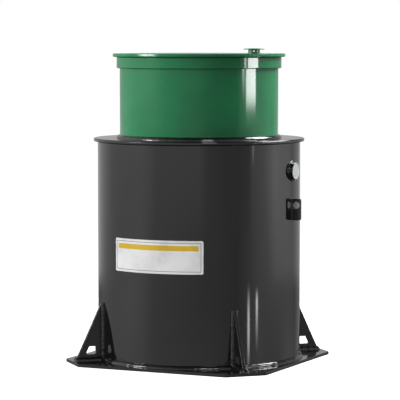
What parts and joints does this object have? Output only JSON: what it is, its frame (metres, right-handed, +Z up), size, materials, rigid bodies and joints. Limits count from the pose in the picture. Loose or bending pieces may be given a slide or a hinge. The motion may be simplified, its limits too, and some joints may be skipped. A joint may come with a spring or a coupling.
{
  "type": "packaged sewage treatment plant",
  "caption": "Upright plastic tank on a gusseted square base plate, with a green access neck, a lift-off vented lid, pipe spigots and lifting lugs.",
  "frame": {"origin": "on the ground at the centre of the base plate, under the tank's axis", "axes": "+Z up along the tank's axis, -Y towards the front, +X towards the outlet spigot and the vent"},
  "size_m": [1.42, 1.396, 1.9983],
  "materials": {
    "black_plastic": "glossy extruded sheet",
    "green_plastic": "glossy extruded sheet",
    "grey_plastic": "smooth moulded"
  },
  "bodies": {
    "plant": {"base_plate": "black_plastic", "tank_wall": "black_plastic", "tank_deck": "black_plastic", "tank_foot_weld": "black_plastic", "neck_wall": "green_plastic", "neck_foot_weld": "black_plastic", "gusset_front_right": "black_plastic", "gusset_front_left": "black_plastic", "gusset_back_left": "black_plastic", "gusset_back_right": "black_plastic", "gusset_weld_front_right": "black_plastic", "gusset_weld_front_left": "black_plastic", "gusset_weld_back_left": "black_plastic", "gusset_weld_back_right": "black_plastic", "outlet_spigot": "black_plastic", "outlet_plug": "grey_plastic", "inlet_spigot": "black_plastic", "inlet_plug": "grey_plastic", "lifting_lug_right": "black_plastic", "lug_weld_right": "black_plastic", "lifting_lug_left": "black_plastic", "lug_weld_left": "black_plastic"},
    "lid": {"lid_plate": "green_plastic", "lid_skirt": "green_plastic", "vent_collar": "green_plastic", "vent_cap": "green_plastic"}
  },
  "joints": [
    {"name": "lid_lift", "type": "slide", "parent": "plant", "child": "lid", "axis": [0, 0, 1], "range_m": [0, 0.3]}
  ]
}
